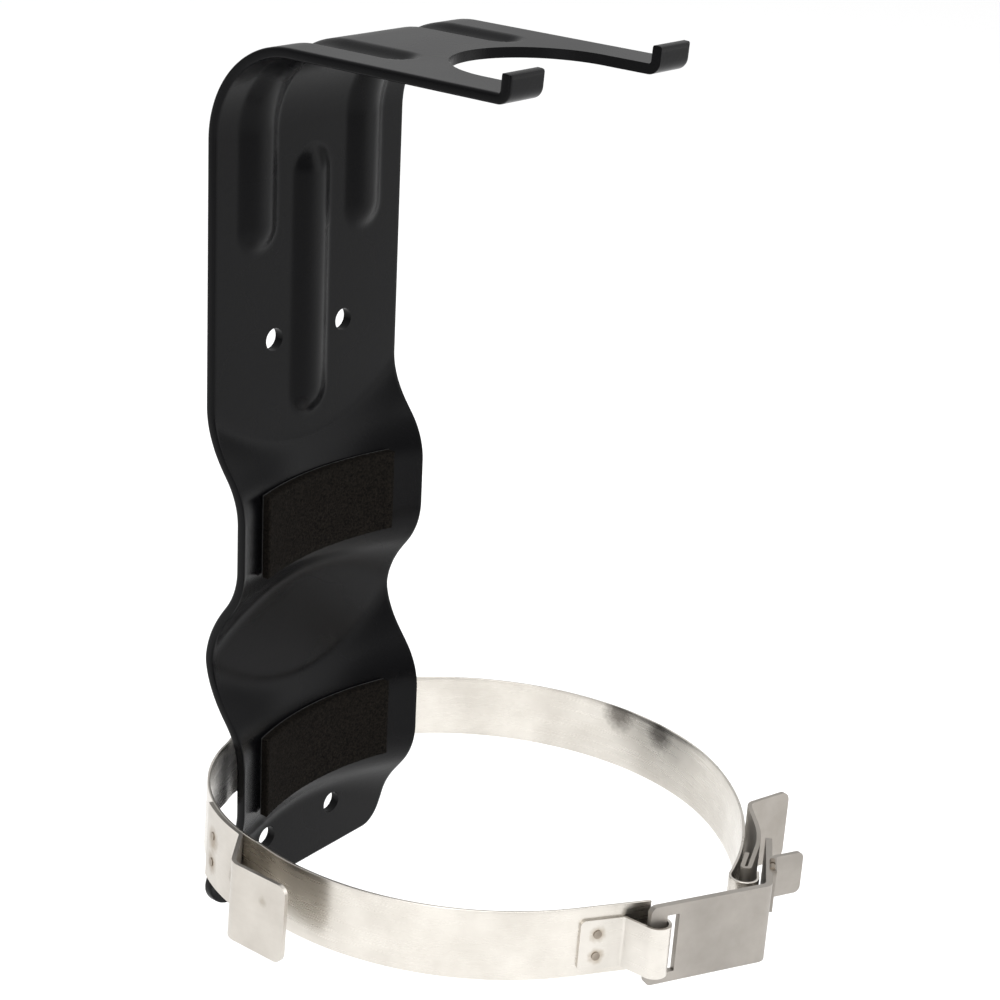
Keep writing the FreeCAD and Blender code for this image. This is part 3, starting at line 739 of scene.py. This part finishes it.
# the band's heading where the front arc stops, from where it curls to the left
heading = FRONT_TO - 90.0
curl_centre = on_circle(CURL, heading + 90.0, right_line[-1])
right_line += arc(*curl_centre, CURL, heading - 90.0, heading - 90.0 + CURL_TURN, 0.35)[1:]
tip = right_line[-1]
for along in CURL_TAIL:
    right_line.append(on_circle(along, heading + CURL_TURN, tip))
right_strip = band_strip("band_right_strip", right_line)
shade(right_strip, 40.0)
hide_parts("band_right_arm")
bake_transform(right_strip)

# ---------------------------------------------------------------- catch, lever and tabs

hook_marks = ((tuple(band_point(15.5, -94.6, 11.5)), 0.0016, (0.10, 0.08, 0.06), 0.5),)
strap_marks = (
    (tuple(band_point(-35.7, -71.0, 2.2)), 0.0024, (0.26, 0.20, 0.13), 0.8),
    (tuple(band_point(-35.7, -71.0, -4.2)), 0.0024, (0.26, 0.20, 0.13), 0.8),
)
finger_marks = (
    (tuple(band_point(-71.3, 38.8, 1.0)), 0.0040, (0.24, 0.185, 0.125), 0.8),
    (tuple(band_point(-71.3, 38.8, -6.0)), 0.0034, (0.24, 0.185, 0.125), 0.8),
    (tuple(band_point(-76.0, 25.0, -4.0)), 0.0028, (0.13, 0.10, 0.07), 0.7),
    (tuple(band_point(-89.3, 2.0, 3.0)), 0.0016, (0.30, 0.26, 0.21), 0.5),
)
hook_steel = steel_material(
    "hook_matte", (0.30, 0.28, 0.255), (0.37, 0.345, 0.315), 0.44, 0.56, EVEN_GRAIN, hook_marks
)
lever_steel = steel_material(
    "lever_matte", (0.29, 0.268, 0.24), (0.36, 0.335, 0.305), 0.44, 0.56, EVEN_GRAIN
)
strap_steel = steel_material(
    "strap_satin", (0.50, 0.475, 0.435), (0.62, 0.59, 0.545), 0.25, 0.35, LONG_GRAIN, strap_marks
)
finger_steel = steel_material(
    "finger_tab_satin", (0.45, 0.42, 0.38), (0.56, 0.53, 0.485), 0.30, 0.42, LONG_GRAIN, finger_marks
)
weld_steel = steel_material(
    "weld_burnt", (0.14, 0.11, 0.085), (0.40, 0.355, 0.30), 0.35, 0.6, (800.0, 800.0, 800.0)
)


def finish_node(name, material, width):
    """A CAD node whose shape is right: broken edges and a better material."""
    ob = nodes[name]
    ob.data.materials.clear()
    ob.data.materials.append(material)
    bevel = ob.modifiers.new("edges", "BEVEL")
    bevel.width = width * MM
    bevel.segments = 2
    bevel.limit_method = "ANGLE"
    bevel.angle_limit = math.radians(50.0)
    smooth = ob.modifiers.new("normals", "WEIGHTED_NORMAL")
    smooth.keep_sharp = True


finish_node("hook_plate", hook_steel, 0.25)
finish_node("pull_tab", hook_steel, 0.2)
finish_node("release_lever", lever_steel, 0.2)
finish_node("catch_loop_strap", strap_steel, 0.15)
finish_node("finger_tab", finger_steel, 0.2)
for name in ("strap_spot_welds", "finger_tab_spot_welds", "pull_tab_weld_beads"):
    nodes[name].data.materials.clear()
    nodes[name].data.materials.append(weld_steel)

# ---------------------------------------------------------------- camera, light and floor

AZ = math.radians(-52.41)
EL = math.radians(17.02)
ROLL = math.radians(2.74)
CAMERA_PLACE = (-452.2, -423.9, 276.0)
FLOOR_HALF = 4.0
FLOOR_LEVEL = -0.16

back = Vector((math.sin(AZ) * math.cos(EL), -math.cos(AZ) * math.cos(EL), math.sin(EL)))
right = Vector((math.cos(AZ), math.sin(AZ), 0.0))
up = back.cross(right)
cam_x = math.cos(ROLL) * right + math.sin(ROLL) * up
cam_y = -math.sin(ROLL) * right + math.cos(ROLL) * up
turn = Matrix((cam_x, cam_y, back)).transposed().to_4x4()
camera = bpy.data.objects.new("camera", bpy.data.cameras.new("camera"))
bpy.context.scene.collection.objects.link(camera)
camera.matrix_world = Matrix.Translation(Vector(CAMERA_PLACE) * MM) @ turn
camera.data.sensor_width = 36.0
camera.data.lens = 77.22
camera.data.shift_x = -0.0019
camera.data.shift_y = -0.1767
camera.data.clip_start = 0.01
camera.data.clip_end = 20.0
bpy.context.scene.camera = camera

world = bpy.data.worlds.new("studio")
bpy.context.scene.world = world
world.use_nodes = True
tree = world.node_tree
surround = tree.nodes["Background"]
coords = add(tree, "ShaderNodeTexCoord")
split = add(tree, "ShaderNodeSeparateXYZ")
tree.links.new(coords.outputs["Generated"], split.inputs["Vector"])
sky = ramp(tree, split.outputs["Z"], 0.0, 0.75, (0.50, 0.50, 0.50), (1.3, 1.3, 1.3))
tree.links.new(sky.outputs["Color"], surround.inputs["Color"])
surround.inputs["Strength"].default_value = 0.9


def area_light(name, place, target, wide, tall, power):
    lamp = bpy.data.lights.new(name, "AREA")
    lamp.shape = "RECTANGLE"
    lamp.size = wide
    lamp.size_y = tall
    lamp.energy = power
    ob = bpy.data.objects.new(name, lamp)
    bpy.context.scene.collection.objects.link(ob)
    ob.location = place
    ob.rotation_mode = "QUATERNION"
    ob.rotation_quaternion = (Vector(target) - Vector(place)).to_track_quat("-Z", "Y")


centre = (0.0, -0.06, 0.03)
area_light("top_softbox", (-0.1, -0.4, 1.1), centre, 1.0, 1.0, 9.0)
area_light("left_softbox", (-1.1, -0.5, 0.5), centre, 0.7, 1.0, 5.0)
area_light("right_softbox", (0.8, -0.9, 0.4), centre, 0.7, 1.0, 4.0)

floor_look, tree, shader = new_material("pale_floor")
grain = noise(tree, 900.0, 2.0)
tint = ramp(tree, grain.outputs["Fac"], 0.3, 0.7, (0.93, 0.93, 0.93), (0.95, 0.95, 0.95))
tree.links.new(tint.outputs["Color"], shader.inputs["Base Color"])
shader.inputs["Roughness"].default_value = 0.8
around = ((-1, -1), (1, -1), (1, 1), (-1, 1))
floor_corners = [(x * FLOOR_HALF, y * FLOOR_HALF, FLOOR_LEVEL) for x, y in around]
floor = make_object("floor", floor_corners, [(0, 1, 2, 3)], floor_look)

bpy.context.scene.view_settings.view_transform = "Standard"
